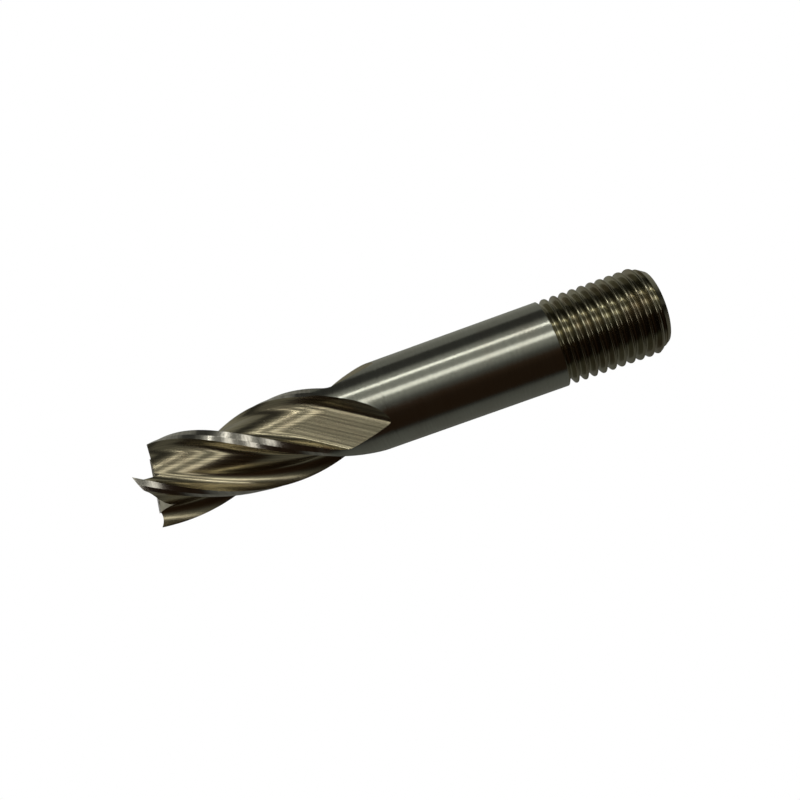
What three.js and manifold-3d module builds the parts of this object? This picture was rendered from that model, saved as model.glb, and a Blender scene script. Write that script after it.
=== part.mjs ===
// A four-flute end mill with a screwed shank, lying along X. Millimetres, +Z up.
// The cutting end is at -X and the screwed tail at +X; the origin is on the tool axis at mid length.
import * as THREE from "three";
import { mergeVertices } from "three/addons/utils/BufferGeometryUtils.js";
import Module from "manifold-3d";

// ---- Sizes that can be set by themselves ----
const toolDiameter = 12; // cutting diameter, and the shank's, so the two run flush
const overallLength = 71.7;
const weldGap = 2.25; // far corner of the flutes' run-out to the weld between the two steels
const roundSegments = 48; // facets on every round surface
const sliver = 0.004; // finest step kept where cuts cross
const cutOverrun = 1; // every cut starts this far outside the steel

// Flutes
const fluteCount = 4;
const helixAngle = 30; // right-hand
const fluteStopAngle = 105.35; // about +X from +Y, where the first flute's wheel stops
const steadySteps = 10; // rings of the cut along the steady flute
const runOutSteps = 16; // and along the run-out
const acrossPoints = 18; // points across the flute
const closingPoints = 4; // and round the outside, to close the ring

// Wheel that grinds the flute: a corner arc, a wide face, a far arc and a far bevel
const wheelRadius = 91.8;
const wheelSwivel = 31.5; // wheel plane to tool axis, a little over the helix angle
const wheelStopFromTip = 10.5; // tip to the wheel's lowest point where it stops
const wheelFarSlope = 36.5;
const wheelOutside = 0.35; // the swept cut stands this far outside the tool
// Shares of the tool's radius, so the flutes keep their form on another diameter
const wheelDipShare = 0.4967; // wheel's lowest line to the tool axis
const wheelShiftShare = -0.9333; // along the wheel's axis, from its side to the tool axis
const wheelCornerShare = 0.1;
const wheelFaceShare = 0.7467; // side of the wheel to the end of its wide face
const wheelFarShare = 0.2667; // far arc

// Clearance ground behind each cutting edge, around the tool
const primaryWidth = 0.9;
const primaryRelief = 11;
const secondaryWidth = 1.3;
const secondaryRelief = 25;
const reliefOverrun = 0.9; // the second flat's cut runs on past the heel
const reliefOutside = 0.5;
const reliefSteps = 24;
const reliefBeforeCorner = 7.75; // where the clearance has faded out, to the run-out's corner
const reliefFade = 2.5;
const reliefLiftOff = 0.03; // the faded cut clears the outside by this much

// End teeth
const endRelief = 23; // end face behind each end edge
const endDish = 5; // end edges fall towards the centre
const gashRise = 38; // bottom of the gash, from the end plane
const gashFlare = 60;
const tipHoleDiameter = 2.4;
const tipHoleDepth = 3;
const drillPoint = 30; // both drilled holes end in a cone of this slope

// Screwed tail
const threadPitch = 1.27; // 20 threads per inch
const threadLength = 13.9; // first full groove to the tail face
const threadDepth = 0.8;
const threadAngle = 55;
const threadRootFlat = 0.25;
const threadStartAngle = 28; // where the first groove reaches its full depth
const threadFadeTurn = 0.3; // of a turn, over which the first groove runs in
const tailChamferLength = 1.5;
const tailChamferDepth = 1.0;
const centreMouthDiameter = 5.2;
const centrePilotDiameter = 2.5;
const centreAngle = 60;
const centrePilotDepth = 2.5;
const grooveOutside = 0.06; // the groove's cut stands this far outside the crests

// ---- Values that follow ----
const radius = toolDiameter / 2;
const tipX = -overallLength / 2;
const tailX = overallLength / 2;
const rad = THREE.MathUtils.degToRad;
const leadPerRadian = radius / Math.tan(rad(helixAngle));
const toothStep = (2 * Math.PI) / fluteCount;
const wheelDip = wheelDipShare * radius;
const wheelShift = wheelShiftShare * radius;
const wheelCornerRadius = wheelCornerShare * radius;
const wheelFaceEnd = wheelFaceShare * radius;
const wheelFarRadius = wheelFarShare * radius;

const wasm = await Module();
wasm.setup();

// ---- Solids in and out of manifold-3d ----
function solidFrom(geometry) {
  const bare = geometry.clone();
  bare.deleteAttribute("normal");
  bare.deleteAttribute("uv");
  const merged = mergeVertices(bare, 1e-4);
  return new wasm.Manifold(
    new wasm.Mesh({
      numProp: 3,
      vertProperties: new Float32Array(merged.attributes.position.array),
      triVerts: new Uint32Array(merged.index.array),
    }),
  );
}

// Slivers thinner than the tolerance are merged away on the way out.
function geometryFrom(solid) {
  const mesh = solid.simplify(sliver).getMesh();
  const geometry = new THREE.BufferGeometry();
  const places = new THREE.BufferAttribute(mesh.vertProperties, 3);
  geometry.setAttribute("position", places);
  geometry.setIndex(new THREE.BufferAttribute(mesh.triVerts, 1));
  geometry.computeVertexNormals();
  return geometry;
}

function turned(geometry, angle) {
  return geometry.clone().rotateX(angle);
}

// A closed bar: a cylinder whose rings take the shape that pointAt(ring, place) gives.
// Both end caps close on the mean of their ring.
function sweptBar(ringCount, ringPoints, pointAt) {
  const bar = new THREE.CylinderGeometry(1, 1, 1, ringPoints, ringCount - 1);
  const places = bar.attributes.position;
  const perRing = ringPoints + 1;
  const sideCount = ringCount * perRing;
  for (let i = 0; i < sideCount; i += 1) {
    const ring = Math.floor(i / perRing);
    const point = pointAt(ring, (i % perRing) % ringPoints);
    places.setXYZ(i, point.x, point.y, point.z);
  }
  closeCap(places, sideCount, 0, ringPoints, pointAt);
  closeCap(places, sideCount + 2 * ringPoints + 1, ringCount - 1, ringPoints, pointAt);
  return bar;
}

// The cap's vertices are ringPoints copies of its centre, then its rim.
function closeCap(places, first, ring, ringPoints, pointAt) {
  const centre = new THREE.Vector3();
  for (let k = 0; k < ringPoints; k += 1) {
    centre.addScaledVector(pointAt(ring, k), 1 / ringPoints);
  }
  for (let k = 0; k < ringPoints; k += 1) {
    places.setXYZ(first + k, centre.x, centre.y, centre.z);
  }
  for (let k = 0; k <= ringPoints; k += 1) {
    const point = pointAt(ring, k % ringPoints);
    places.setXYZ(first + ringPoints + k, point.x, point.y, point.z);
  }
}

// ---- Flute: the space swept by the grinding wheel on its screw path ----
// The wheel's outline: u along its axis, rho from it, and the outward normal (nu, nrho).
function wheelOutline() {
  const outline = [];
  const sideHeight = 2 * radius;
  const add = (u, rho, turn) => {
    outline.push({ u, rho, nu: -Math.cos(turn), nrho: Math.sin(turn) });
  };
  const sideSteps = 40;
  const arcSteps = 60;
  for (let i = 0; i < sideSteps; i += 1) {
    const height = sideHeight * (1 - i / sideSteps);
    add(0, wheelRadius - wheelCornerRadius - height, 0);
  }
  for (let i = 0; i <= arcSteps; i += 1) {
    const turn = (Math.PI / 2) * (i / arcSteps) ** 2;
    const u = wheelCornerRadius * (1 - Math.cos(turn));
    add(u, wheelRadius - wheelCornerRadius * (1 - Math.sin(turn)), turn);
  }
  for (let i = 1; i <= arcSteps; i += 1) {
    const u = THREE.MathUtils.lerp(wheelCornerRadius, wheelFaceEnd, i / arcSteps);
    add(u, wheelRadius, Math.PI / 2);
  }
  const slope = rad(wheelFarSlope);
  for (let i = 1; i <= arcSteps; i += 1) {
    const turn = slope * (i / arcSteps);
    const u = wheelFaceEnd + wheelFarRadius * Math.sin(turn);
    add(u, wheelRadius - wheelFarRadius * (1 - Math.cos(turn)), Math.PI / 2 + turn);
  }
  const last = outline[outline.length - 1];
  for (let i = 1; i <= arcSteps; i += 1) {
    const run = radius * (i / arcSteps);
    const u = last.u + run * Math.cos(slope);
    add(u, last.rho - run * Math.sin(slope), Math.PI / 2 + slope);
  }
  return outline;
}

// The wheel where it stops: its centre, its axis and two directions square to that axis.
function wheelAtStop() {
  const angle = rad(fluteStopAngle);
  const swivel = rad(wheelSwivel);
  const along = new THREE.Vector3(1, 0, 0);
  const out = new THREE.Vector3(0, Math.cos(angle), Math.sin(angle));
  const round = new THREE.Vector3(0, -Math.sin(angle), Math.cos(angle));
  const axis = along.clone().multiplyScalar(Math.sin(swivel));
  axis.addScaledVector(round, -Math.cos(swivel));
  const travel = along.clone().multiplyScalar(Math.cos(swivel));
  travel.addScaledVector(round, Math.sin(swivel));
  const down = out.clone().negate();
  const centre = along.clone().multiplyScalar(tipX + wheelStopFromTip);
  centre.addScaledVector(out, wheelDip + wheelRadius);
  centre.addScaledVector(axis, -wheelShift);
  return { centre, axis, down, travel };
}

const crossX = (p, q) => p.y * q.z - p.z * q.y;

function wheelPoint(wheel, spot, turn) {
  const point = wheel.centre.clone().addScaledVector(wheel.axis, spot.u);
  point.addScaledVector(wheel.down, spot.rho * Math.cos(turn));
  return point.addScaledVector(wheel.travel, spot.rho * Math.sin(turn));
}

// Where the wheel's circle at this spot touches the surface its screw motion leaves,
// or null where it never does.
function contactPoint(wheel, spot) {
  const lever = spot.u * spot.nrho - spot.rho * spot.nu;
  const share = (way) =>
    spot.nrho * (leadPerRadian * way.x + crossX(wheel.centre, way)) + lever * crossX(wheel.axis, way);
  const a = share(wheel.down);
  const b = share(wheel.travel);
  const c = spot.nu * (leadPerRadian * wheel.axis.x + crossX(wheel.centre, wheel.axis));
  const size = Math.hypot(a, b);
  if (Math.abs(c) > size) return null;
  const middle = Math.atan2(b, a);
  const spread = Math.acos(-c / size);
  const turns = [middle + spread, middle - spread].map((t) => Math.atan2(Math.sin(t), Math.cos(t)));
  turns.sort((p, q) => Math.abs(p) - Math.abs(q));
  return wheelPoint(wheel, spot, turns[0]);
}

// The flute's surface at station x, from the cutting edge's side to the heel's, as angle and radius.
function fluteSection(wheel, outline, x) {
  const section = [];
  for (const spot of outline) {
    if (!spot.seen) {
      spot.seen = true;
      spot.contact = contactPoint(wheel, spot);
    }
    const steady = spot.contact && x <= spot.contact.x;
    if (steady) {
      const turn = Math.atan2(spot.contact.z, spot.contact.y);
      const angle = turn + (x - spot.contact.x) / leadPerRadian;
      section.push({ angle, r: Math.hypot(spot.contact.y, spot.contact.z) });
      continue;
    }
    const sine = (x - wheel.centre.x - spot.u * wheel.axis.x) / (spot.rho * wheel.travel.x);
    const inPlay = spot.contact !== null || x > wheel.sideFrom;
    if (!inPlay || Math.abs(sine) > 1) continue;
    const point = wheelPoint(wheel, spot, Math.asin(sine));
    section.push({ angle: Math.atan2(point.z, point.y), r: Math.hypot(point.y, point.z) });
  }
  return unwrapped(section);
}

function unwrapped(section) {
  for (let i = 1; i < section.length; i += 1) {
    const step = section[i].angle - section[i - 1].angle;
    section[i].angle -= 2 * Math.PI * Math.round(step / (2 * Math.PI));
  }
  return section;
}

// Keeps the run of the section inside radius limit, with its two ends set on that radius.
function trimmed(section, limit) {
  let low = 0;
  section.forEach((p, i) => {
    if (p.r < section[low].r) low = i;
  });
  const ends = [-1, 1].map((way) => {
    let i = low;
    while (section[i + way] && section[i].r < limit) i += way;
    return i;
  });
  const kept = section.slice(ends[0], ends[1] + 1);
  kept[0] = onRadius(kept[0], kept[1], limit);
  const last = kept.length - 1;
  kept[last] = onRadius(kept[last], kept[last - 1], limit);
  return kept;
}

function onRadius(outer, inner, limit) {
  const share = (limit - inner.r) / (outer.r - inner.r);
  const angle = THREE.MathUtils.lerp(inner.angle, outer.angle, share);
  return { angle, r: limit };
}

// The same number of points on every section, spaced evenly along it.
function resampled(section, count) {
  const flat = section.map((p) => new THREE.Vector2(p.r * Math.cos(p.angle), p.r * Math.sin(p.angle)));
  const run = [0];
  for (let i = 1; i < flat.length; i += 1) run.push(run[i - 1] + flat[i].distanceTo(flat[i - 1]));
  const points = [];
  let at = 1;
  for (let k = 0; k < count; k += 1) {
    const goal = (run[run.length - 1] * k) / (count - 1);
    while (at < run.length - 1 && run[at] < goal) at += 1;
    const share = (goal - run[at - 1]) / (run[at] - run[at - 1]);
    points.push(flat[at - 1].clone().lerp(flat[at], share));
  }
  return points;
}

const wheel = wheelAtStop();
const outline = wheelOutline();
const sideSpot = outline.find((spot) => contactPoint(wheel, spot) !== null);
wheel.sideFrom = contactPoint(wheel, sideSpot).x;

// The first tooth's corner at the tip: where the flute's leading wall meets the outside.
const edgeAngle = trimmed(fluteSection(wheel, outline, tipX), radius)[0].angle;

// The far corner of the run-out: where the flute's lowest line comes up to the outside.
function runOutCorner() {
  let inside = tipX + wheelStopFromTip;
  let beyond = inside + wheelRadius;
  while (beyond - inside > sliver) {
    const x = (inside + beyond) / 2;
    const lowest = Math.min(...fluteSection(wheel, outline, x).map((p) => p.r));
    if (lowest < radius) inside = x;
    else beyond = x;
  }
  return inside;
}

const cornerX = runOutCorner();
const weldX = cornerX + weldGap;
const reliefEndX = cornerX - reliefBeforeCorner;

function fluteCut() {
  const startX = tipX - cutOverrun;
  const steadyEnd = tipX + 2 * wheelStopFromTip; // from here on the wheel leaves its own imprint
  const stations = [startX];
  for (let i = 1; i <= steadySteps; i += 1) {
    stations.push(THREE.MathUtils.lerp(startX, steadyEnd, i / steadySteps));
  }
  for (let i = 1; i <= runOutSteps; i += 1) {
    stations.push(THREE.MathUtils.lerp(steadyEnd, cornerX, i / runOutSteps));
  }
  const rings = stations.map((x) => {
    const section = trimmed(fluteSection(wheel, outline, x), radius + wheelOutside);
    const points = resampled(section, acrossPoints);
    const first = section[0].angle;
    const last = section[section.length - 1].angle;
    const outside = radius + 3 * wheelOutside;
    for (let k = 0; k < closingPoints; k += 1) {
      const angle = THREE.MathUtils.lerp(last, first, k / (closingPoints - 1));
      points.push(new THREE.Vector2(outside * Math.cos(angle), outside * Math.sin(angle)));
    }
    return points.reverse().map((p) => new THREE.Vector3(x, p.x, p.y));
  });
  return sweptBar(rings.length, acrossPoints + closingPoints, (ring, k) => rings[ring][k]);
}

// ---- Clearance behind a cutting edge: two flats that follow the helix ----
function reliefCut() {
  const first = primaryWidth * Math.tan(rad(primaryRelief));
  const second = first + secondaryWidth * Math.tan(rad(secondaryRelief));
  const ends = primaryWidth + secondaryWidth;
  const third = second + reliefOverrun * Math.tan(rad(secondaryRelief));
  const outline = [
    [0, 0],
    [primaryWidth, first],
    [ends, second],
    [ends + reliefOverrun, third],
    [ends + reliefOverrun, -2 * reliefOutside],
    [0, -reliefOutside],
  ];
  return sweptBar(reliefSteps + 1, outline.length, (ring, k) => {
    const x = THREE.MathUtils.lerp(tipX - cutOverrun, reliefEndX, ring / reliefSteps);
    const fade = THREE.MathUtils.clamp((x - reliefEndX + reliefFade) / reliefFade, 0, 1);
    const [back, deep] = outline[k];
    const lift = fade * (deep > 0 ? deep : 0);
    const y = radius - deep + lift + fade * reliefLiftOff;
    return new THREE.Vector3(x, y, back).applyAxisAngle(
      new THREE.Vector3(1, 0, 0),
      edgeAngle + (x - tipX) / leadPerRadian,
    );
  });
}

// ---- End teeth: a block over one quadrant whose inner face is a sloping plane ----
// y runs out along this tooth's end edge, z runs back from it.
function endBlock(fromY, toY, fromZ, toZ, depthAt) {
  const block = new THREE.BoxGeometry(2, toY - fromY, toZ - fromZ);
  block.translate(0, (fromY + toY) / 2, (fromZ + toZ) / 2);
  const places = block.attributes.position;
  for (let i = 0; i < places.count; i += 1) {
    const y = places.getY(i);
    const z = places.getZ(i);
    places.setX(i, tipX + (places.getX(i) < 0 ? -toolDiameter : depthAt(y, z)));
  }
  return block;
}

function endReliefCut() {
  const reach = radius + cutOverrun;
  const fall = Math.tan(rad(endDish));
  const slope = Math.tan(rad(endRelief));
  return endBlock(0, reach, 0, reach, (y, z) => (radius - y) * fall + z * slope);
}

function gashCut() {
  const reach = radius + cutOverrun;
  const rise = Math.tan(rad(gashRise));
  const flare = Math.tan(rad(gashFlare));
  const width = (reach * rise) / flare;
  return endBlock(0, width, 0, reach, (y, z) => z * rise - y * flare);
}

// ---- Round bodies ----
// A profile of [distance along the tool, radius] turned about the tool axis.
function turnedBody(profile) {
  const points = profile.map(([x, r]) => new THREE.Vector2(r, x));
  return new THREE.LatheGeometry(points, roundSegments).rotateZ(-Math.PI / 2);
}

function tipHole() {
  const r = tipHoleDiameter / 2;
  const floor = tipX + tipHoleDepth;
  return turnedBody([
    [tipX - cutOverrun, 0],
    [tipX - cutOverrun, r],
    [floor, r],
    [floor + r * Math.tan(rad(drillPoint)), 0],
  ]);
}

function makeHead() {
  const blank = turnedBody([
    [tipX, 0],
    [tipX, radius],
    [weldX, radius],
    [weldX, 0],
  ]);
  let solid = solidFrom(blank);
  const flute = fluteCut();
  const relief = reliefCut();
  const endFace = turned(endReliefCut(), edgeAngle);
  const gash = turned(gashCut(), edgeAngle);
  for (const cut of [flute, relief, endFace, gash]) {
    for (let k = 0; k < fluteCount; k += 1) {
      solid = solid.subtract(solidFrom(turned(cut, k * toothStep)));
    }
  }
  return geometryFrom(solid.subtract(solidFrom(tipHole())));
}

// ---- Screwed tail ----
// One groove as a bar wound round the tool: root flat, two flanks, closed outside the crests.
function threadGroove() {
  const lean = Math.tan(rad(threadAngle / 2));
  const half = threadRootFlat / 2;
  const wide = half + (threadDepth + grooveOutside) * lean;
  const perTurn = roundSegments;
  const turns = threadLength / threadPitch + threadFadeTurn + 1;
  const steps = Math.ceil(turns * perTurn);
  const startX = tailX - threadLength;
  return sweptBar(steps + 1, 4, (ring, k) => {
    const turn = ring / perTurn - threadFadeTurn;
    const fade = THREE.MathUtils.clamp(-turn / threadFadeTurn, 0, 1);
    const isRoot = k < 2;
    const side = k === 0 || k === 3 ? 1 : -1;
    const lift = fade * (threadDepth + grooveOutside / 2);
    const r = isRoot ? radius - threadDepth + lift : radius + grooveOutside;
    const across = isRoot ? half : wide - lift * lean;
    const angle = rad(threadStartAngle) + turn * 2 * Math.PI;
    const x = startX + turn * threadPitch + side * across;
    return new THREE.Vector3(x, r * Math.cos(angle), r * Math.sin(angle));
  });
}

function makeShank() {
  const mouth = centreMouthDiameter / 2;
  const pilot = centrePilotDiameter / 2;
  const coneDepth = (mouth - pilot) / Math.tan(rad(centreAngle / 2));
  const pilotEnd = tailX - coneDepth - centrePilotDepth;
  const body = turnedBody([
    [weldX, 0],
    [weldX, radius],
    [tailX - tailChamferLength, radius],
    [tailX, radius - tailChamferDepth],
    [tailX, mouth],
    [tailX - coneDepth, pilot],
    [pilotEnd, pilot],
    [pilotEnd - pilot * Math.tan(rad(drillPoint)), 0],
  ]);
  return geometryFrom(solidFrom(body).subtract(solidFrom(threadGroove())));
}

// ---- The tool ----
function piece(name, geometry, colour, roughness) {
  const material = new THREE.MeshStandardMaterial({ color: colour, roughness, metalness: 1 });
  const mesh = new THREE.Mesh(geometry, material);
  mesh.name = name;
  return mesh;
}

const endMill = new THREE.Group();
endMill.name = "end_mill";
endMill.add(piece("cutting_head", makeHead(), 0x8f8a78, 0.34));
endMill.add(piece("shank", makeShank(), 0x9a9890, 0.26));

export default endMill;
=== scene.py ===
import math
import bpy
import numpy as np
from mathutils import Matrix, Vector


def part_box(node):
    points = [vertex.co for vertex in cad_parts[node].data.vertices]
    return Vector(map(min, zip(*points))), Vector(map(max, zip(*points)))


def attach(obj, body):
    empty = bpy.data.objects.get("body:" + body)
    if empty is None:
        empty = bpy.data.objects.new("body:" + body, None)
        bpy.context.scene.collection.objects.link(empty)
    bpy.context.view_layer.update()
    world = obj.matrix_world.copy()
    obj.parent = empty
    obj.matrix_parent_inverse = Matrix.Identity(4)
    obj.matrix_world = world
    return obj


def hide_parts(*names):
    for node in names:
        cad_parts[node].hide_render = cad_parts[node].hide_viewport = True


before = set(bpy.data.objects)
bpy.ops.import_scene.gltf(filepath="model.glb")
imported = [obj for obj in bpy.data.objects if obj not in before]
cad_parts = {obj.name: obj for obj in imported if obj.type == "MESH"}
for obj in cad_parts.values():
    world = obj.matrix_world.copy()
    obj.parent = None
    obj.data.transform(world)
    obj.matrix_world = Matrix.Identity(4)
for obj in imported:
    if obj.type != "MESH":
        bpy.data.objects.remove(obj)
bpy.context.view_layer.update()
mm = 0.001  # sizes below are in millimetres


# Bar sizes shared by both pieces, tip at -X and tail at +X
bar = {
    "diameter": 12.0,
    "length": 71.7,
}
barRadius = bar["diameter"] / 2
tipX = -bar["length"] / 2
tailX = bar["length"] / 2
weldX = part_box("cutting_head")[1][0] / mm  # where the two steels meet


def deselectAll():
    if bpy.context.mode != "OBJECT":
        bpy.ops.object.mode_set(mode="OBJECT")
    bpy.ops.object.select_all(action="DESELECT")


def makeActive(piece):
    deselectAll()
    piece.select_set(True)
    bpy.context.view_layer.objects.active = piece


def applyBoolean(piece, cutter, operation):
    makeActive(piece)
    modifier = piece.modifiers.new("cut", "BOOLEAN")
    modifier.operation = operation
    modifier.solver = "MANIFOLD"
    modifier.object = cutter
    bpy.ops.object.modifier_apply(modifier=modifier.name)
    bpy.data.objects.remove(cutter, do_unlink=True)


def gridPiece(name, columns, rows):
    deselectAll()
    bpy.ops.mesh.primitive_grid_add(x_subdivisions=columns, y_subdivisions=rows, size=1, calc_uvs=True)
    piece = bpy.context.object
    piece.name = name
    return piece


def placeVertices(piece, points):
    flat = np.ascontiguousarray(points, dtype=np.float32).ravel()
    piece.data.vertices.foreach_set("co", flat * np.float32(mm))
    piece.data.update()


# Finishes, shared by both pieces
finishColours = {
    "flute": (0.485, 0.438, 0.318, 1),
    "land": (0.60, 0.58, 0.54, 1),
    "endFace": (0.44, 0.42, 0.36, 1),
    "shank": (0.49, 0.50, 0.46, 1),
    "thread": (0.40, 0.38, 0.285, 1),
    "stain": (0.20, 0.10, 0.05, 1),
}


grindLines = {
    "broadScale": 0.22,  # of the fine lines' own scale
    "fineHeight": 0.6,
    "broadHeight": 0.4,
    "darkest": 0.30,  # noise levels taken as the darkest and lightest lines
    "lightest": 0.70,
}
steelAge = {
    "patchFrom": 0.48,  # noise level at which a stain begins
    "patchFull": 0.78,
    "patchScale": 260.0,
    "dulling": 0.2,  # roughness added by a full stain
}
rustSpot = {  # on one land, near the flutes' end
    "place": (-10.6, -4.1, 4.4),
    "radius": 1.1,
    "middle": 0.3,  # of the radius, fully rusted
    "amount": 0.75,
}


def newGroup(name, inputs, outputs):
    group = bpy.data.node_groups.new(name, "ShaderNodeTree")
    for socketName, kind, value in inputs:
        socket = group.interface.new_socket(socketName, in_out="INPUT", socket_type=kind)
        if value is not None:
            socket.default_value = value
    for socketName, kind in outputs:
        group.interface.new_socket(socketName, in_out="OUTPUT", socket_type=kind)
    return group, group.nodes.new("NodeGroupInput"), group.nodes.new("NodeGroupOutput")


def mathNode(tree, operation, a, b=None, clamp=False):
    node = tree.nodes.new("ShaderNodeMath")
    node.operation = operation
    node.use_clamp = clamp
    for slot, value in enumerate((a, b)):
        if value is None:
            continue
        if isinstance(value, (int, float)):
            node.inputs[slot].default_value = value
        else:
            tree.links.new(value, node.inputs[slot])
    return node.outputs[0]


def noiseNode(tree, vector, scale, detail=2.0, roughness=0.5):
    node = tree.nodes.new("ShaderNodeTexNoise")
    node.inputs["Scale"].default_value = scale
    node.inputs["Detail"].default_value = detail
    node.inputs["Roughness"].default_value = roughness
    tree.links.new(vector, node.inputs["Vector"])
    return node.outputs["Fac"]


# Fine parallel lines left by a grinding wheel: noise drawn out along one way
def makeGrindGroup():
    group, inside, outside = newGroup(
        "grindLines",
        [
            ("Vector", "NodeSocketVector", None),
            ("Across", "NodeSocketFloat", 60.0),
            ("Along", "NodeSocketFloat", 1.0),
        ],
        [("Fine", "NodeSocketFloat"), ("Broad", "NodeSocketFloat"), ("Height", "NodeSocketFloat")],
    )
    split = group.nodes.new("ShaderNodeSeparateXYZ")
    group.links.new(inside.outputs["Vector"], split.inputs[0])
    across = mathNode(group, "MULTIPLY", split.outputs[0], inside.outputs["Across"])
    along = mathNode(group, "MULTIPLY", split.outputs[1], inside.outputs["Along"])
    join = group.nodes.new("ShaderNodeCombineXYZ")
    group.links.new(across, join.inputs[0])
    group.links.new(along, join.inputs[1])
    group.links.new(split.outputs[2], join.inputs[2])
    fine = noiseNode(group, join.outputs[0], 1.0, 3.0, 0.6)
    broad = noiseNode(group, join.outputs[0], grindLines["broadScale"])
    fineHeight = mathNode(group, "MULTIPLY", fine, grindLines["fineHeight"])
    broadHeight = mathNode(group, "MULTIPLY", broad, grindLines["broadHeight"])
    height = mathNode(group, "ADD", fineHeight, broadHeight)
    group.links.new(fine, outside.inputs["Fine"])
    group.links.new(broad, outside.inputs["Broad"])
    group.links.new(height, outside.inputs["Height"])
    return group


# Thin oil film and age: broad warm patches that dull and tint the steel
def makeAgeGroup():
    group, inside, outside = newGroup(
        "steelAge",
        [
            ("Vector", "NodeSocketVector", None),
            ("Color", "NodeSocketColor", (0.5, 0.5, 0.5, 1)),
            ("Stain", "NodeSocketColor", finishColours["stain"]),
            ("Amount", "NodeSocketFloat", 0.3),
            ("Scale", "NodeSocketFloat", 400.0),
        ],
        [("Color", "NodeSocketColor"), ("Dull", "NodeSocketFloat")],
    )
    spread = group.nodes.new("ShaderNodeTexNoise")
    spread.inputs["Detail"].default_value = 4.0
    group.links.new(inside.outputs["Vector"], spread.inputs["Vector"])
    group.links.new(inside.outputs["Scale"], spread.inputs["Scale"])
    patch = group.nodes.new("ShaderNodeMapRange")
    patch.inputs["From Min"].default_value = steelAge["patchFrom"]
    patch.inputs["From Max"].default_value = steelAge["patchFull"]
    group.links.new(spread.outputs["Fac"], patch.inputs["Value"])
    dull = mathNode(group, "MULTIPLY", patch.outputs[0], inside.outputs["Amount"])
    spot = group.nodes.new("ShaderNodeVectorMath")
    spot.operation = "DISTANCE"
    group.links.new(inside.outputs["Vector"], spot.inputs[0])
    spot.inputs[1].default_value = [size * mm for size in rustSpot["place"]]
    near = group.nodes.new("ShaderNodeMapRange")
    near.inputs["From Min"].default_value = rustSpot["radius"] * mm
    near.inputs["From Max"].default_value = rustSpot["radius"] * rustSpot["middle"] * mm
    group.links.new(spot.outputs["Value"], near.inputs["Value"])
    dull = mathNode(group, "MAXIMUM", dull, mathNode(group, "MULTIPLY", near.outputs[0], rustSpot["amount"]))
    tint = group.nodes.new("ShaderNodeMix")
    tint.data_type = "RGBA"
    group.links.new(dull, tint.inputs["Factor"])
    group.links.new(inside.outputs["Color"], tint.inputs[6])
    group.links.new(inside.outputs["Stain"], tint.inputs[7])
    group.links.new(tint.outputs[2], outside.inputs["Color"])
    group.links.new(dull, outside.inputs["Dull"])
    return group


grindGroup = makeGrindGroup()
ageGroup = makeAgeGroup()


# One ground steel: grinding lines set its tone, roughness and bump, and age stains it
def groundSteel(name, colour, roughness, look):
    material = bpy.data.materials.new(name)
    material.use_nodes = True
    tree = material.node_tree
    shader = tree.nodes["Principled BSDF"]
    shader.inputs["Metallic"].default_value = 1.0
    coords = tree.nodes.new("ShaderNodeTexCoord")
    source = coords.outputs["UV" if look.get("uv") else "Object"]
    grind = tree.nodes.new("ShaderNodeGroup")
    grind.node_tree = grindGroup
    grind.inputs["Across"].default_value = look["across"]
    grind.inputs["Along"].default_value = look["along"]
    tree.links.new(source, grind.inputs["Vector"])
    age = tree.nodes.new("ShaderNodeGroup")
    age.node_tree = ageGroup
    age.inputs["Color"].default_value = colour
    age.inputs["Amount"].default_value = look["stain"]
    age.inputs["Scale"].default_value = steelAge["patchScale"]
    tree.links.new(coords.outputs["Object"], age.inputs["Vector"])
    shade = tree.nodes.new("ShaderNodeMapRange")
    shade.inputs["From Min"].default_value = grindLines["darkest"]
    shade.inputs["From Max"].default_value = grindLines["lightest"]
    shade.inputs["To Min"].default_value = 1.0 - look["contrast"]
    shade.inputs["To Max"].default_value = 1.0 + look["contrast"]
    tree.links.new(grind.outputs["Fine"], shade.inputs["Value"])
    tone = tree.nodes.new("ShaderNodeVectorMath")
    tone.operation = "SCALE"
    tree.links.new(age.outputs["Color"], tone.inputs[0])
    tree.links.new(shade.outputs[0], tone.inputs["Scale"])
    tree.links.new(tone.outputs[0], shader.inputs["Base Color"])
    rough = mathNode(tree, "MULTIPLY", grind.outputs["Broad"], look["roughSpread"])
    rough = mathNode(tree, "ADD", rough, roughness - look["roughSpread"] / 2)
    dulled = mathNode(tree, "MULTIPLY", age.outputs["Dull"], steelAge["dulling"])
    rough = mathNode(tree, "ADD", rough, dulled, clamp=True)
    tree.links.new(rough, shader.inputs["Roughness"])
    bump = tree.nodes.new("ShaderNodeBump")
    bump.inputs["Strength"].default_value = look["bump"]
    bump.inputs["Distance"].default_value = look["bumpDepth"] * mm
    tree.links.new(grind.outputs["Height"], bump.inputs["Height"])
    tree.links.new(bump.outputs[0], shader.inputs["Normal"])
    return material


# U and V of the head's map are millimetres, across and along the grinding lines
fluteSteel = groundSteel("fluteSteel", finishColours["flute"], 0.23, {
    "uv": True, "across": 4.6, "along": 0.06, "contrast": 0.45, "roughSpread": 0.16,
    "bump": 0.6, "bumpDepth": 0.02, "stain": 0.25,
})
landSteel = groundSteel("landSteel", finishColours["land"], 0.20, {
    "uv": True, "across": 0.25, "along": 1.7, "contrast": 0.25, "roughSpread": 0.10,
    "bump": 1.0, "bumpDepth": 0.05, "stain": 0.12,
})
endSteel = groundSteel("endSteel", finishColours["endFace"], 0.30, {
    "across": 6000.0, "along": 900.0, "contrast": 0.2, "roughSpread": 0.12,
    "bump": 0.5, "bumpDepth": 0.01, "stain": 0.15,
})
shankSteel = groundSteel("shankSteel", finishColours["shank"], 0.17, {
    "across": 3600.0, "along": 500.0, "contrast": 0.05, "roughSpread": 0.08,
    "bump": 1.0, "bumpDepth": 0.03, "stain": 0.16,
})
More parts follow.
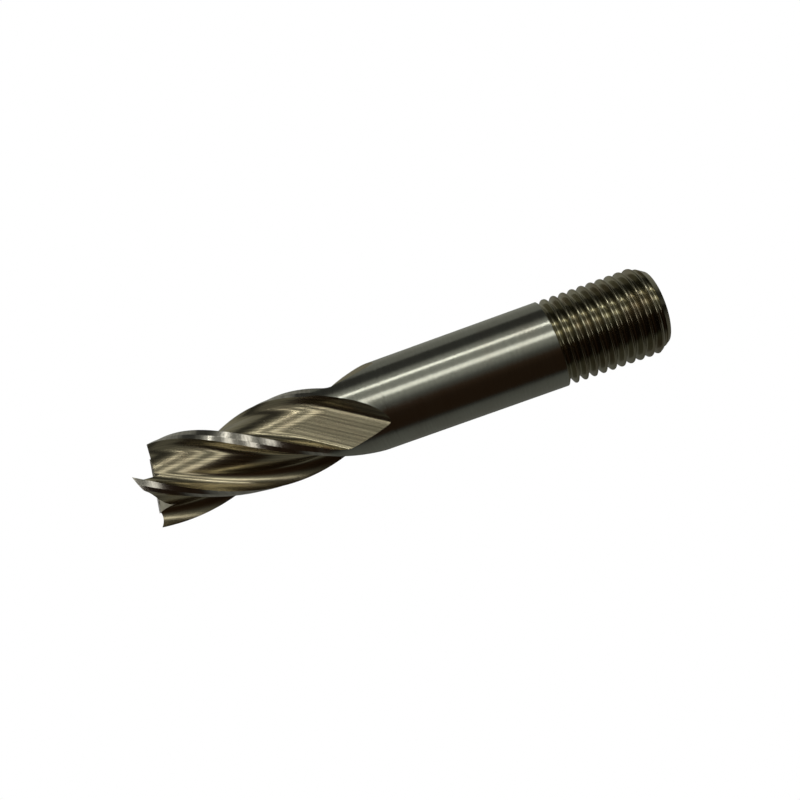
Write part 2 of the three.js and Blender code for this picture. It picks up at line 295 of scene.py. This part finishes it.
threadSteel = groundSteel("threadSteel", finishColours["thread"], 0.16, {
    "across": 5000.0, "along": 160.0, "contrast": 0.18, "roughSpread": 0.10,
    "bump": 0.25, "bumpDepth": 0.006, "stain": 0.5,
})
print("finishes ready")


# Fluted head: sizes in millimetres, angles in degrees
head = {
    "flutes": 4,
    "lead": 65.3,  # right-hand helix
    "fluteStopAngle": 105.35,  # about +X from +Y
    "wheelRadius": 91.8,
    "wheelSwivel": 31.5,
    "wheelStopFromTip": 10.5,
    "wheelDip": 2.98,
    "wheelShift": -5.6,
    "wheelCorner": 0.6,
    "wheelFaceEnd": 4.48,
    "wheelFarRadius": 1.6,
    "wheelFarSlope": 36.5,
    "primaryWidth": 0.9,
    "primaryRelief": 11.0,
    "primaryMost": 0.6,  # of the land, where the land is narrow
    "secondaryWidth": 2.6,
    "secondaryRelief": 25.0,
    "reliefReach": 26.6,
    "reliefFade": 2.5,
    "endRelief": 23.0,
    "endDish": 5.0,
    "gashRise": 38.0,
    "gashFlare": 60.0,
    "tipHoleDiameter": 2.4,
    "tipHoleDepth": 3.0,
    "drillPoint": 0.57,  # height of the hole's pointed end, of its radius
    "fluteColumns": 58,
    "primaryColumns": 6,
    "landColumns": 14,
    "wheelSteps": 160,
    "openReach": 20.0,  # from the tip, where the rows come closer together
    "openRows": 90,
    "runOutRows": 118,
    "cornerReach": 1.0,  # before the flutes' end, where they come closer still
    "cornerRows": 22,
    "plainRows": 8,
}
advance = head["lead"] / (2 * math.pi)


# The grinding wheel's outline from its side, round its corner, over its face and up its far bevel
def wheelOutline():
    corner, size = head["wheelCorner"], head["wheelRadius"]
    slope = math.radians(head["wheelFarSlope"])
    steps = head["wheelSteps"]
    drop = np.linspace(1, 0, steps, endpoint=False) * bar["diameter"]
    side = [np.zeros(steps), size - corner - drop, np.zeros(steps), -drop]
    turn = np.linspace(0, 1, 2 * steps) ** 2 * math.pi / 2
    arc = [corner * (1 - np.cos(turn)), size - corner * (1 - np.sin(turn)), turn, corner * turn]
    share = np.linspace(0, 1, steps + 1)[1:]
    run = share * (head["wheelFaceEnd"] - corner)
    start = corner * math.pi / 2
    face = [corner + run, np.full(steps, size), np.full(steps, math.pi / 2), start + run]
    start += head["wheelFaceEnd"] - corner
    bend = share * slope
    far = head["wheelFarRadius"]
    farU, farRho = head["wheelFaceEnd"] + far * np.sin(bend), size - far * (1 - np.cos(bend))
    farArc = [farU, farRho, math.pi / 2 + bend, start + far * bend]
    start += far * slope
    run = share * barRadius
    bevelU, bevelRho = farU[-1] + run * math.cos(slope), farRho[-1] - run * math.sin(slope)
    bevel = [bevelU, bevelRho, np.full(steps, math.pi / 2 + slope), start + run]
    u, rho, turn, s = (np.concatenate(column) for column in zip(side, arc, face, farArc, bevel))
    return u, rho, -np.cos(turn), np.sin(turn), s


def wheelAtStop():
    angle, swivel = math.radians(head["fluteStopAngle"]), math.radians(head["wheelSwivel"])
    along = np.array([1.0, 0, 0])
    out = np.array([0, math.cos(angle), math.sin(angle)])
    around = np.array([0, -math.sin(angle), math.cos(angle)])
    axis = math.sin(swivel) * along - math.cos(swivel) * around
    travel = math.cos(swivel) * along + math.sin(swivel) * around
    centre = (tipX + head["wheelStopFromTip"]) * along + (head["wheelDip"] + head["wheelRadius"]) * out
    return centre - head["wheelShift"] * axis, axis, -out, travel


class FluteShape:
    def __init__(self):
        self.centre, self.axis, self.down, self.travel = wheelAtStop()
        self.u, self.rho, nu, nrho, self.s = wheelOutline()
        crossX = lambda p, q: p[1] * q[2] - p[2] * q[1]
        drift = lambda way: advance * way[0] + crossX(self.centre, way)  # of the screw motion, along this way
        lever = self.u * nrho - self.rho * nu
        a = nrho * drift(self.down) + lever * crossX(self.axis, self.down)
        b = nrho * drift(self.travel) + lever * crossX(self.axis, self.travel)
        c = nu * drift(self.axis)
        size = np.hypot(a, b)
        self.touches = np.abs(c) <= size
        middle, spread = np.arctan2(b, a), np.arccos(np.clip(-c / size, -1, 1))
        wrap = lambda t: np.arctan2(np.sin(t), np.cos(t))
        first, second = wrap(middle + spread), wrap(middle - spread)
        turn = np.where(np.abs(first) < np.abs(second), first, second)
        touch = self.wheelPoints(turn)
        self.touchX = touch[:, 0]
        self.touchR = np.hypot(touch[:, 1], touch[:, 2])
        self.touchAngle = np.arctan2(touch[:, 2], touch[:, 1]) - touch[:, 0] / advance
        self.sideFrom = self.touchX[np.argmax(self.touches)]

    def wheelPoints(self, turn):
        around = np.cos(turn)[:, None] * self.down + np.sin(turn)[:, None] * self.travel
        return self.centre + self.u[:, None] * self.axis + self.rho[:, None] * around

    # Angle, radius and wheel place of the whole cut at station x, cutting edge's side first
    def section(self, x):
        sine = (x - self.centre[0] - self.u * self.axis[0]) / (self.rho * self.travel[0])
        imprint = self.wheelPoints(np.arcsin(np.clip(sine, -1, 1)))
        steady = self.touches & (x <= self.touchX)
        angle = np.where(steady, self.touchAngle + x / advance, np.arctan2(imprint[:, 2], imprint[:, 1]))
        r = np.where(steady, self.touchR, np.hypot(imprint[:, 1], imprint[:, 2]))
        keep = steady | ((self.touches | (x > self.sideFrom)) & (np.abs(sine) <= 1))
        angle = np.unwrap(angle[keep])
        low = int(np.argmin(r[keep]))
        angle -= 2 * math.pi * round((angle[low] - math.radians(head["fluteStopAngle"])) / (2 * math.pi))
        return angle, r[keep], self.s[keep], low


fluteShape = FluteShape()


# First place on this side of the flute's bottom where the cut comes out through the limit
def edgeRun(values, low, way, limit):
    i = low
    while 0 <= i + way < len(values) and values[i] < limit[i]:
        i += way
    return i


# Where the cut passes through the limit, between its places i and j
def crossing(angle, r, s, i, j, limit):
    share = (limit[j] - r[j]) / ((r[i] - r[j]) - (limit[i] - limit[j]))
    mix = lambda values: values[j] + share * (values[i] - values[j])
    return mix(angle), mix(limit), mix(s)


# Radius left by the two clearance flats, at this angle behind the cutting edge
def reliefRadius(behind, x):
    t = np.linspace(0, head["primaryWidth"] + head["secondaryWidth"], 60)
    first, second = math.radians(head["primaryRelief"]), math.radians(head["secondaryRelief"])
    deep = np.minimum(t, head["primaryWidth"]) * math.tan(first)
    deep += np.maximum(t - head["primaryWidth"], 0) * math.tan(second)
    angles, radii = np.arctan2(t, barRadius - deep), np.hypot(t, barRadius - deep)
    fade = np.clip((tipX + head["reliefReach"] - x) / head["reliefFade"], 0, 1)
    fade = fade * fade * (3 - 2 * fade)
    cut = np.interp(behind, angles, radii, left=barRadius, right=barRadius)
    return barRadius - fade * (barRadius - cut)


# One flute at station x, its cutting edge's angle, and how far behind it the land's heel stands
def headSection(x):
    angle, r, s, low = fluteShape.section(x)
    plain = np.full(len(r), barRadius)
    i = edgeRun(r, low, -1, plain)
    edge = crossing(angle, r, s, i, i + 1, plain)
    toothStep = 2 * math.pi / head["flutes"]
    limit = reliefRadius(angle - (edge[0] - toothStep), x)
    j = edgeRun(r, low, 1, limit)
    heel = crossing(angle, r, s, j, j - 1, limit)
    kept = slice(i + 1, j)
    angle = np.concatenate(([edge[0]], angle[kept], [heel[0]]))
    r = np.concatenate(([edge[1]], r[kept], [heel[1]]))
    s = np.concatenate(([edge[2]], s[kept], [heel[2]]))
    y, z = r * np.cos(angle), r * np.sin(angle)
    run = np.concatenate(([0], np.cumsum(np.hypot(np.diff(y), np.diff(z)))))
    goal = np.linspace(run[-1], 0, head["fluteColumns"])
    flute = np.stack([np.interp(goal, run, y), np.interp(goal, run, z), np.interp(goal, run, s)], axis=1)
    behindHeel = heel[0] + toothStep - edge[0]
    return flute, edge[0], behindHeel


def landPoints(x, edgeAngle, behindHeel):
    width = head["primaryWidth"]
    facetEnd = math.atan2(width, barRadius - width * math.tan(math.radians(head["primaryRelief"])))
    primary = min(facetEnd, behindHeel * head["primaryMost"])
    behind = np.concatenate((
        np.linspace(0, primary, head["primaryColumns"] + 1)[1:],
        np.linspace(primary, behindHeel, head["landColumns"] + 1)[1:-1],
    ))
    r = reliefRadius(behind, x)
    angle = edgeAngle + behind
    return np.stack([r * np.cos(angle), r * np.sin(angle), barRadius * behind], axis=1)


# Where the flutes end: the last station at which the wheel still cuts into the bar
def lastFluteStation():
    low, high = tipX + head["openReach"], weldX
    for _ in range(40):
        x = (low + high) / 2
        _, r, _, deepest = fluteShape.section(x)
        low, high = (x, high) if r[deepest] < barRadius - 0.0005 else (low, x)
    return low


def headStations(endX):
    openX, cornerX = tipX + head["openReach"], endX - head["cornerReach"]
    return np.concatenate((
        np.linspace(tipX, openX, head["openRows"], endpoint=False),
        np.linspace(openX, cornerX, head["runOutRows"], endpoint=False),
        endX - head["cornerReach"] * (1 - np.linspace(0, 1, head["cornerRows"])) ** 2,
        np.linspace(endX, weldX, head["plainRows"])[1:],
    ))


def makeHead():
    endX = lastFluteStation()
    stations = headStations(endX)
    sector = head["fluteColumns"] + head["primaryColumns"] + head["landColumns"] - 1
    columns = sector * head["flutes"]
    points = np.zeros((len(stations), columns + 1, 3))
    mapLeft = np.zeros((len(stations), columns + 1))  # U for the face that follows a column
    mapRight = np.zeros((len(stations), columns + 1))  # U for the face before it
    for row, x in enumerate(stations):
        flute, edgeAngle, behindHeel = headSection(min(x, endX))
        if x > endX - 1e-9:
            middle = math.atan2(flute[:, 1].mean(), flute[:, 0].mean())
            meeting = [barRadius * math.cos(middle), barRadius * math.sin(middle), flute[0, 2]]
            flute = np.tile(meeting, (len(flute), 1))
            edgeAngle, behindHeel = middle, 2 * math.pi / head["flutes"]
        land = landPoints(x, edgeAngle, behindHeel)
        outline = np.concatenate((flute, land))
        left = outline[:, 2].copy()
        right = outline[:, 2].copy()
        left[head["fluteColumns"] - 1] = 0.0
        for k in range(head["flutes"]):
            turn = 2 * math.pi * k / head["flutes"]
            at = slice(k * sector, (k + 1) * sector)
            points[row, at, 0] = x
            points[row, at, 1] = outline[:, 0] * math.cos(turn) - outline[:, 1] * math.sin(turn)
            points[row, at, 2] = outline[:, 0] * math.sin(turn) + outline[:, 1] * math.cos(turn)
            mapLeft[row, at], mapRight[row, at] = left, right
            mapRight[row, k * sector] = barRadius * behindHeel
        points[row, columns] = points[row, 0]
        mapLeft[row, columns] = mapLeft[row, 0]
        mapRight[row, columns] = barRadius * behindHeel
    piece = gridPiece("flutedHead", columns, len(stations) - 1)
    placeVertices(piece, points.reshape(-1, 3))
    mapHead(piece, stations, columns + 1, sector, mapLeft, mapRight)
    markHeadEdges(piece, stations, columns + 1, sector, endX)
    closeTube(piece)
    return piece


def mapHead(piece, stations, width, sector, mapLeft, mapRight):
    mesh = piece.data
    corners = np.zeros(len(mesh.loops), dtype=np.int32)
    mesh.loops.foreach_get("vertex_index", corners)
    corners = corners.reshape(-1, 4)
    row, column = corners // width, corners % width
    faceColumn = column.min(axis=1)
    u = np.where(column == faceColumn[:, None], mapLeft[row, column], mapRight[row, column])
    v = stations[row]
    inSector = faceColumn % sector
    onFlute = inSector < head["fluteColumns"] - 1
    piece.data.materials.append(fluteSteel)
    piece.data.materials.append(landSteel)
    piece.data.materials.append(endSteel)
    piece.data.materials.append(shankSteel)
    plain = stations[row].min(axis=1) > tipX + head["reliefReach"] - head["reliefFade"] / 2
    index = np.where(onFlute, 0, np.where(plain, 3, 1)).astype(np.int32)
    mesh.polygons.foreach_set("material_index", index)
    flat = np.stack([u + (faceColumn // sector)[:, None] * 37.0, v], axis=2)
    mesh.uv_layers.active.data.foreach_set("uv", np.ascontiguousarray(flat, dtype=np.float32).ravel())
    mesh.update()


def markHeadEdges(piece, stations, width, sector, endX):
    mesh = piece.data
    ends = np.zeros(len(mesh.edges) * 2, dtype=np.int32)
    mesh.edges.foreach_get("vertices", ends)
    ends = ends.reshape(-1, 2)
    row, column = ends // width, ends % width
    inSector = column % sector
    alongBar = column[:, 0] == column[:, 1]
    borders = np.isin(inSector[:, 0], (0, head["fluteColumns"] - 1))
    facet = inSector[:, 0] == head["fluteColumns"] - 1 + head["primaryColumns"]
    rowX = stations[row].max(axis=1)
    sharp = alongBar & ((borders & (rowX < endX)) | (facet & (rowX < tipX + head["reliefReach"] - 0.3)))
    mark = mesh.attributes.get("sharp_edge") or mesh.attributes.new("sharp_edge", "BOOLEAN", "EDGE")
    mark.data.foreach_set("value", sharp)
    mesh.update()


def closeTube(piece):
    makeActive(piece)
    bpy.ops.object.mode_set(mode="EDIT")
    bpy.ops.mesh.select_all(action="SELECT")
    bpy.ops.mesh.remove_doubles(threshold=0.0004 * mm)
    bpy.ops.object.mode_set(mode="OBJECT")
    for end in (min, max):
        endX = end(vertex.co.x for vertex in piece.data.vertices)
        bpy.ops.object.mode_set(mode="EDIT")
        bpy.ops.mesh.select_mode(type="VERT")
        bpy.ops.mesh.select_all(action="DESELECT")
        bpy.ops.object.mode_set(mode="OBJECT")
        for vertex in piece.data.vertices:
            vertex.select = abs(vertex.co.x - endX) < 0.0001 * mm
        bpy.ops.object.mode_set(mode="EDIT")
        bpy.ops.mesh.edge_face_add()
        bpy.context.object.active_material_index = 2
        bpy.ops.object.material_slot_assign()
    bpy.ops.mesh.select_all(action="SELECT")
    bpy.ops.mesh.normals_make_consistent(inside=False)
    bpy.ops.object.mode_set(mode="OBJECT")


# A block over one quadrant in front of the tip, its back face a sloping plane
def endBlock(name, width, depthAt, turn):
    reach = barRadius + 1
    deselectAll()
    bpy.ops.mesh.primitive_cube_add(size=1)
    block = bpy.context.object
    block.name = name
    spin = Matrix.Rotation(turn, 3, "X")
    for vertex in block.data.vertices:
        y, z = (vertex.co.y + 0.5) * width, (vertex.co.z + 0.5) * reach
        x = tipX - bar["diameter"] if vertex.co.x < 0 else tipX + depthAt(y, z)
        vertex.co = spin @ Vector((x, y, z)) * mm
    for material in (fluteSteel, landSteel, endSteel):
        block.data.materials.append(material)
    for polygon in block.data.polygons:
        polygon.material_index = 2
    return block


def cutEndTeeth(piece):
    _, edgeAngle, _ = headSection(tipX)
    fall, slope = math.tan(math.radians(head["endDish"])), math.tan(math.radians(head["endRelief"]))
    rise, flare = math.tan(math.radians(head["gashRise"])), math.tan(math.radians(head["gashFlare"]))
    reach = barRadius + 1
    for k in range(head["flutes"]):
        turn = edgeAngle + 2 * math.pi * k / head["flutes"]
        block = endBlock("endRelief", reach, lambda y, z: (barRadius - y) * fall + z * slope, turn)
        applyBoolean(piece, block, "DIFFERENCE")
        block = endBlock("gash", reach * rise / flare, lambda y, z: z * rise - y * flare, turn)
        applyBoolean(piece, block, "DIFFERENCE")


def cutTipHole(piece):
    r = head["tipHoleDiameter"] / 2
    deselectAll()
    bpy.ops.mesh.primitive_cylinder_add(
        vertices=64,
        radius=r * mm,
        depth=2 * head["tipHoleDepth"] * mm,
        rotation=(0, math.pi / 2, 0),
        location=(tipX * mm, 0, 0),
    )
    drill = bpy.context.object
    bpy.ops.object.transform_apply(location=True, rotation=True, scale=True)
    bpy.ops.object.mode_set(mode="EDIT")
    bpy.ops.mesh.select_all(action="DESELECT")
    bpy.ops.object.mode_set(mode="OBJECT")
    deepest = tipX + head["tipHoleDepth"]
    for face in drill.data.polygons:
        face.select = face.center.x > (deepest - 0.01) * mm
    bpy.ops.object.mode_set(mode="EDIT")
    bpy.ops.mesh.select_mode(type="FACE")
    bpy.ops.mesh.extrude_region_move(TRANSFORM_OT_translate={"value": (r * head["drillPoint"] * mm, 0, 0)})
    bpy.ops.transform.resize(value=(1, 0.02, 0.02))  # to a point
    bpy.ops.object.mode_set(mode="OBJECT")
    for material in (fluteSteel, landSteel, endSteel):
        drill.data.materials.append(material)
    for face in drill.data.polygons:
        face.material_index = 2
    applyBoolean(piece, drill, "DIFFERENCE")


headPiece = makeHead()
print("flutes and lands made", len(headPiece.data.polygons))
cutEndTeeth(headPiece)
cutTipHole(headPiece)
makeActive(headPiece)
bpy.ops.object.shade_smooth_by_angle(angle=math.radians(38), keep_sharp_edges=True)
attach(headPiece, "root")
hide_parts("cutting_head")
print("head finished", len(headPiece.data.polygons))


# Screwed shank
shank = {
    "pitch": 1.27,  # 20 threads per inch
    "threadLength": 13.9,
    "threadAngle": 55.0,
    "threadRounding": 0.137,  # crest and root radius, of the pitch
    "threadStartAngle": 28.0,
    "threadFadeTurn": 0.3,
    "threadDepth": 0.64,  # of the pitch, filled where the groove runs in
    "chamferLength": 1.5,
    "chamferDepth": 1.0,
    "centreMouth": 5.2,
    "centrePilot": 2.5,
    "centreAngle": 60.0,
    "centrePilotDepth": 2.5,
    "drillPoint": 0.57,  # height of the pilot's pointed end, of its radius
    "columns": 160,
    "rowsPerPitch": 26,
    "plainRows": 14,
    "runIn": 1.0,  # fine rows before the first groove
    "overrun": 0.5,  # rows past both ends, trimmed off by the blank
}


# Radius of the rounded thread form at this distance from the middle of a groove
def threadForm(distance):
    pitch = shank["pitch"]
    half = math.radians(shank["threadAngle"] / 2)
    rounding = shank["threadRounding"] * pitch
    fullHeight = pitch / 2 / math.tan(half)
    centreUp = rounding / math.sin(half)
    sharpRoot = barRadius - fullHeight + centreUp - rounding
    edge = rounding * math.cos(half)
    root = sharpRoot + centreUp - np.sqrt(np.maximum(rounding**2 - distance**2, 0))
    fromCrest = pitch / 2 - distance
    crest = sharpRoot + fullHeight - centreUp + np.sqrt(np.maximum(rounding**2 - fromCrest**2, 0))
    flank = sharpRoot + distance / math.tan(half)
    return np.where(distance < edge, root, np.where(fromCrest < edge, crest, flank))


# Rings of the shank: wide apart on the plain part, many to a pitch in the thread
def shankStations():
    fineLength = shank["threadLength"] + shank["runIn"] + shank["overrun"]
    rows = int(shank["rowsPerPitch"] * fineLength / shank["pitch"])
    threadFrom = tailX - shank["threadLength"] - shank["runIn"]
    plain = np.linspace(weldX - shank["overrun"], threadFrom, shank["plainRows"], endpoint=False)
    return np.concatenate((plain, np.linspace(threadFrom, tailX + shank["overrun"], rows)))


def makeShank():
    stations = shankStations()
    columns = shank["columns"]
    angle = np.linspace(0, 2 * math.pi, columns + 1)
    x, turn = np.meshgrid(stations, angle, indexing="ij")
    path = (turn - math.radians(shank["threadStartAngle"])) / (2 * math.pi)
    pitches = (x - (tailX - shank["threadLength"])) / shank["pitch"] - path
    groove = np.round(pitches)
    distance = np.abs(pitches - groove) * shank["pitch"]
    fade = np.clip(-(groove + path) / shank["threadFadeTurn"], 0, 1)
    filled = fade * shank["threadDepth"] * shank["pitch"]
    radius = np.minimum(threadForm(distance) + filled, barRadius)
    points = np.stack([x, radius * np.cos(turn), radius * np.sin(turn)], axis=2)
    piece = gridPiece("screwedShank", columns, len(stations) - 1)
    placeVertices(piece, points.reshape(-1, 3))
    for material in (shankSteel, threadSteel, endSteel):
        piece.data.materials.append(material)
    closeTube(piece)
    return piece


# A round blank: half its outline drawn as a chain of edges, then spun about the bar's axis
def spunBlank(name, profile):
    deselectAll()
    bpy.ops.mesh.primitive_plane_add(size=1)
    blank = bpy.context.object
    blank.name = name
    bpy.ops.object.mode_set(mode="EDIT")
    bpy.ops.mesh.delete(type="ONLY_FACE")
    bpy.ops.mesh.select_all(action="SELECT")
    bpy.ops.mesh.merge(type="CENTER")
    bpy.ops.object.mode_set(mode="OBJECT")
    blank.data.vertices[0].co = Vector((profile[0][0], profile[0][1], 0)) * mm
    bpy.ops.object.mode_set(mode="EDIT")
    bpy.ops.mesh.select_mode(type="VERT")
    bpy.ops.mesh.select_all(action="SELECT")
    for (fromX, fromR), (toX, toR) in zip(profile, profile[1:]):
        step = ((toX - fromX) * mm, (toR - fromR) * mm, 0)
        bpy.ops.mesh.extrude_vertices_move(TRANSFORM_OT_translate={"value": step})
    bpy.ops.mesh.select_all(action="SELECT")
    bpy.ops.mesh.spin(steps=180, angle=2 * math.pi, center=(0, 0, 0), axis=(1, 0, 0), use_auto_merge=True)
    bpy.ops.mesh.select_all(action="SELECT")
    bpy.ops.mesh.remove_doubles(threshold=0.0005 * mm)
    bpy.ops.mesh.normals_make_consistent(inside=False)
    bpy.ops.object.mode_set(mode="OBJECT")
    return blank


def turnTail(piece):
    over = 0.02  # the blank stands this far off the plain part, so only its ends cut
    mouth, pilot = shank["centreMouth"] / 2, shank["centrePilot"] / 2
    coneEnd = tailX - (mouth - pilot) / math.tan(math.radians(shank["centreAngle"] / 2))
    pilotEnd = coneEnd - shank["centrePilotDepth"]
    chamferX = tailX - shank["chamferLength"]
    blank = spunBlank("tailBlank", [
        (weldX, 0),
        (weldX, barRadius + over),
        (chamferX - over * shank["chamferLength"] / shank["chamferDepth"], barRadius + over),
        (tailX, barRadius - shank["chamferDepth"]),
        (tailX, mouth),
        (coneEnd, pilot),
        (pilotEnd, pilot),
        (pilotEnd - pilot * shank["drillPoint"], 0),
    ])
    for material in (shankSteel, threadSteel, endSteel):
        blank.data.materials.append(material)
    for face in blank.data.polygons:
        face.material_index = 0 if face.center.x < (tailX - 0.5) * mm else 2
    applyBoolean(piece, blank, "INTERSECT")


def finishShankFaces(piece):
    threadFrom = tailX - shank["threadLength"] - shank["pitch"]
    wholeFrom = threadFrom + 1.6 * shank["pitch"]  # past here the crests are thread too
    for face in piece.data.polygons:
        out = math.hypot(face.center.y, face.center.z) / mm
        inThread = out < barRadius - 0.004 or face.center.x > wholeFrom * mm
        if face.center.x > threadFrom * mm and face.material_index == 0 and inThread:
            face.material_index = 1


shankPiece = makeShank()
print("thread made", len(shankPiece.data.polygons))
turnTail(shankPiece)
finishShankFaces(shankPiece)
makeActive(shankPiece)
bpy.ops.object.shade_smooth_by_angle(angle=math.radians(32), keep_sharp_edges=True)
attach(shankPiece, "root")
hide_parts("shank")
print("shank finished", len(shankPiece.data.polygons))


# Floor, light and camera
studio = {
    "floorSize": 3.0,
    "thinStripAngle": 49.0,  # about +X from +Y
    "thinStripWidth": 0.05,
    "thinStripPower": 0.52,
    "wideStripAngle": 79.0,
    "wideStripWidth": 0.12,
    "wideStripPower": 0.58,
    "tipLampAngle": 112.0,  # a smaller lamp off beyond the cutting end
    "tipLampWidth": 0.16,
    "tipLampPower": 0.3,
    "tipLampPlace": -0.45,
    "tipLampLength": 0.5,
    "stripLength": 1.2,
    "stripDistance": 0.65,
    "whiteLevel": 1.0,
    "endFalloff": 0.7,  # the room darkens towards both ends of the bar
    "roomStops": (  # half turns about +X from +Y, brightness and tint
        (0.0, 0.0399, "roomGrey"),
        (0.15, 0.0399, "roomGrey"),
        (0.205, 0.29, "roomGrey"),
        (0.52, 0.29, "roomGrey"),
        (0.595, 0.084, "roomGrey"),
        (0.67, 0.0357, "roomWarm"),
        (0.75, 0.021, "roomWarm"),
        (1.0, 0.021, "roomWarm"),
    ),
    "roomGrey": (1.0, 1.0, 0.86),
    "roomWarm": (1.0, 0.55, 0.28),
    "lampColour": (1.0, 0.98, 0.88),
    "floorReach": 0.12,  # across the bar, where the floor seen in the steel has dimmed
    "floorGlows": (  # place across that reach, and brightness
        (0.0, 0.03),
        (0.29, 0.085),
        (0.46, 0.125),
        (0.5, 0.13),
        (0.55, 0.27),
        (0.62, 0.2),
        (1.0, 0.17),
    ),
    "lens": 31.67,
    "cameraPlace": (5.635, -21.354, 92.529),
    "cameraRight": (0.93999, -0.31625, -0.12809),
    "cameraBack": (0.05786, -0.22222, 0.97328),
}


def stripLight(name, angle, width, power, length, place=0.0):
    data = bpy.data.lights.new(name, "AREA")
    data.shape = "RECTANGLE"
    data.size, data.size_y = length, width
    data.energy = power
    data.color = studio["lampColour"]
    light = bpy.data.objects.new(name, data)
    bpy.context.collection.objects.link(light)
    tilt = math.radians(angle)
    away = Vector((0, math.cos(tilt), math.sin(tilt)))
    side = Vector((1, 0, 0))
    turned = Matrix((side, away.cross(side), away)).transposed()
    stand = away * studio["stripDistance"] + side * place
    light.matrix_world = Matrix.Translation(stand) @ turned.to_4x4()


def pathMixed(tree, forCamera, forOther, target):
    path = tree.nodes.new("ShaderNodeLightPath")
    mix = tree.nodes.new("ShaderNodeMixShader")
    tree.links.new(path.outputs["Is Camera Ray"], mix.inputs[0])
    tree.links.new(forOther, mix.inputs[1])
    tree.links.new(forCamera, mix.inputs[2])
    tree.links.new(mix.outputs[0], target)


# The first stop is at 0 and the last at 1, where a new ramp has its own two
def fillRamp(ramp, stops):
    for place, _, _ in stops[1:-1]:
        ramp.color_ramp.elements.new(place)
    for element, (_, level, tint) in zip(ramp.color_ramp.elements, stops):
        element.color = (level * tint[0], level * tint[1], level * tint[2], 1)


def makeFloor():
    deselectAll()
    bpy.ops.mesh.primitive_plane_add(size=studio["floorSize"], location=(0, 0, -barRadius * mm))
    floor = bpy.context.object
    floor.name = "floor"
    bpy.ops.object.transform_apply(location=True, rotation=True, scale=True)
    material = bpy.data.materials.new("floorWhite")
    material.use_nodes = True
    tree = material.node_tree
    tree.nodes.remove(tree.nodes["Principled BSDF"])
    bright = tree.nodes.new("ShaderNodeEmission")
    bright.inputs["Color"].default_value = (1, 1, 1, 1)
    bright.inputs["Strength"].default_value = studio["whiteLevel"]
    dim = tree.nodes.new("ShaderNodeEmission")
    coords = tree.nodes.new("ShaderNodeTexCoord")
    split = tree.nodes.new("ShaderNodeSeparateXYZ")
    tree.links.new(coords.outputs["Object"], split.inputs[0])
    across = tree.nodes.new("ShaderNodeMapRange")
    across.inputs["From Min"].default_value = -studio["floorReach"]
    across.inputs["From Max"].default_value = studio["floorReach"]
    tree.links.new(split.outputs[1], across.inputs["Value"])
    ramp = tree.nodes.new("ShaderNodeValToRGB")
    fillRamp(ramp, [(place, glow, studio["roomGrey"]) for place, glow in studio["floorGlows"]])
    tree.links.new(across.outputs[0], ramp.inputs[0])
    tree.links.new(ramp.outputs[0], dim.inputs["Color"])
    pathMixed(tree, bright.outputs[0], dim.outputs[0], tree.nodes["Material Output"].inputs["Surface"])
    floor.data.materials.append(material)


def makeWorld():
    world = bpy.data.worlds.new("studioRoom")
    bpy.context.scene.world = world
    world.use_nodes = True
    tree = world.node_tree
    room = tree.nodes["Background"]
    coords = tree.nodes.new("ShaderNodeTexCoord")
    split = tree.nodes.new("ShaderNodeSeparateXYZ")
    tree.links.new(coords.outputs["Generated"], split.inputs[0])
    angle = mathNode(tree, "ARCTAN2", split.outputs[2], split.outputs[1])
    ramp = tree.nodes.new("ShaderNodeValToRGB")
    fillRamp(ramp, [(place, level, studio[tint]) for place, level, tint in studio["roomStops"]])
    tree.links.new(mathNode(tree, "MULTIPLY", angle, 1 / math.pi), ramp.inputs[0])
    tree.links.new(ramp.outputs[0], room.inputs["Color"])
    sideways = mathNode(tree, "ABSOLUTE", split.outputs[0])
    falloff = mathNode(tree, "SUBTRACT", 1.0, mathNode(tree, "MULTIPLY", sideways, studio["endFalloff"]))
    tree.links.new(falloff, room.inputs["Strength"])
    white = tree.nodes.new("ShaderNodeBackground")
    white.inputs["Color"].default_value = (1, 1, 1, 1)
    white.inputs["Strength"].default_value = studio["whiteLevel"]
    pathMixed(tree, white.outputs[0], room.outputs[0], tree.nodes["World Output"].inputs["Surface"])


def makeCamera():
    data = bpy.data.cameras.new("camera")
    data.lens, data.sensor_width = studio["lens"], 36.0
    data.clip_start = 0.005
    camera = bpy.data.objects.new("camera", data)
    bpy.context.collection.objects.link(camera)
    place = Vector(studio["cameraPlace"]) * mm
    right = Vector(studio["cameraRight"]).normalized()
    back = Vector(studio["cameraBack"]).normalized()
    up = back.cross(right).normalized()
    turned = Matrix((right, up, back)).transposed()
    camera.matrix_world = Matrix.Translation(place) @ turned.to_4x4()
    bpy.context.scene.camera = camera


makeFloor()
makeWorld()
for lamp, length, place in (
    ("thinStrip", studio["stripLength"], 0.0),
    ("wideStrip", studio["stripLength"], 0.0),
    ("tipLamp", studio["tipLampLength"], studio["tipLampPlace"]),
):
    stripLight(lamp, studio[lamp + "Angle"], studio[lamp + "Width"], studio[lamp + "Power"], length, place)
makeCamera()
bpy.context.scene.view_settings.view_transform = "Standard"
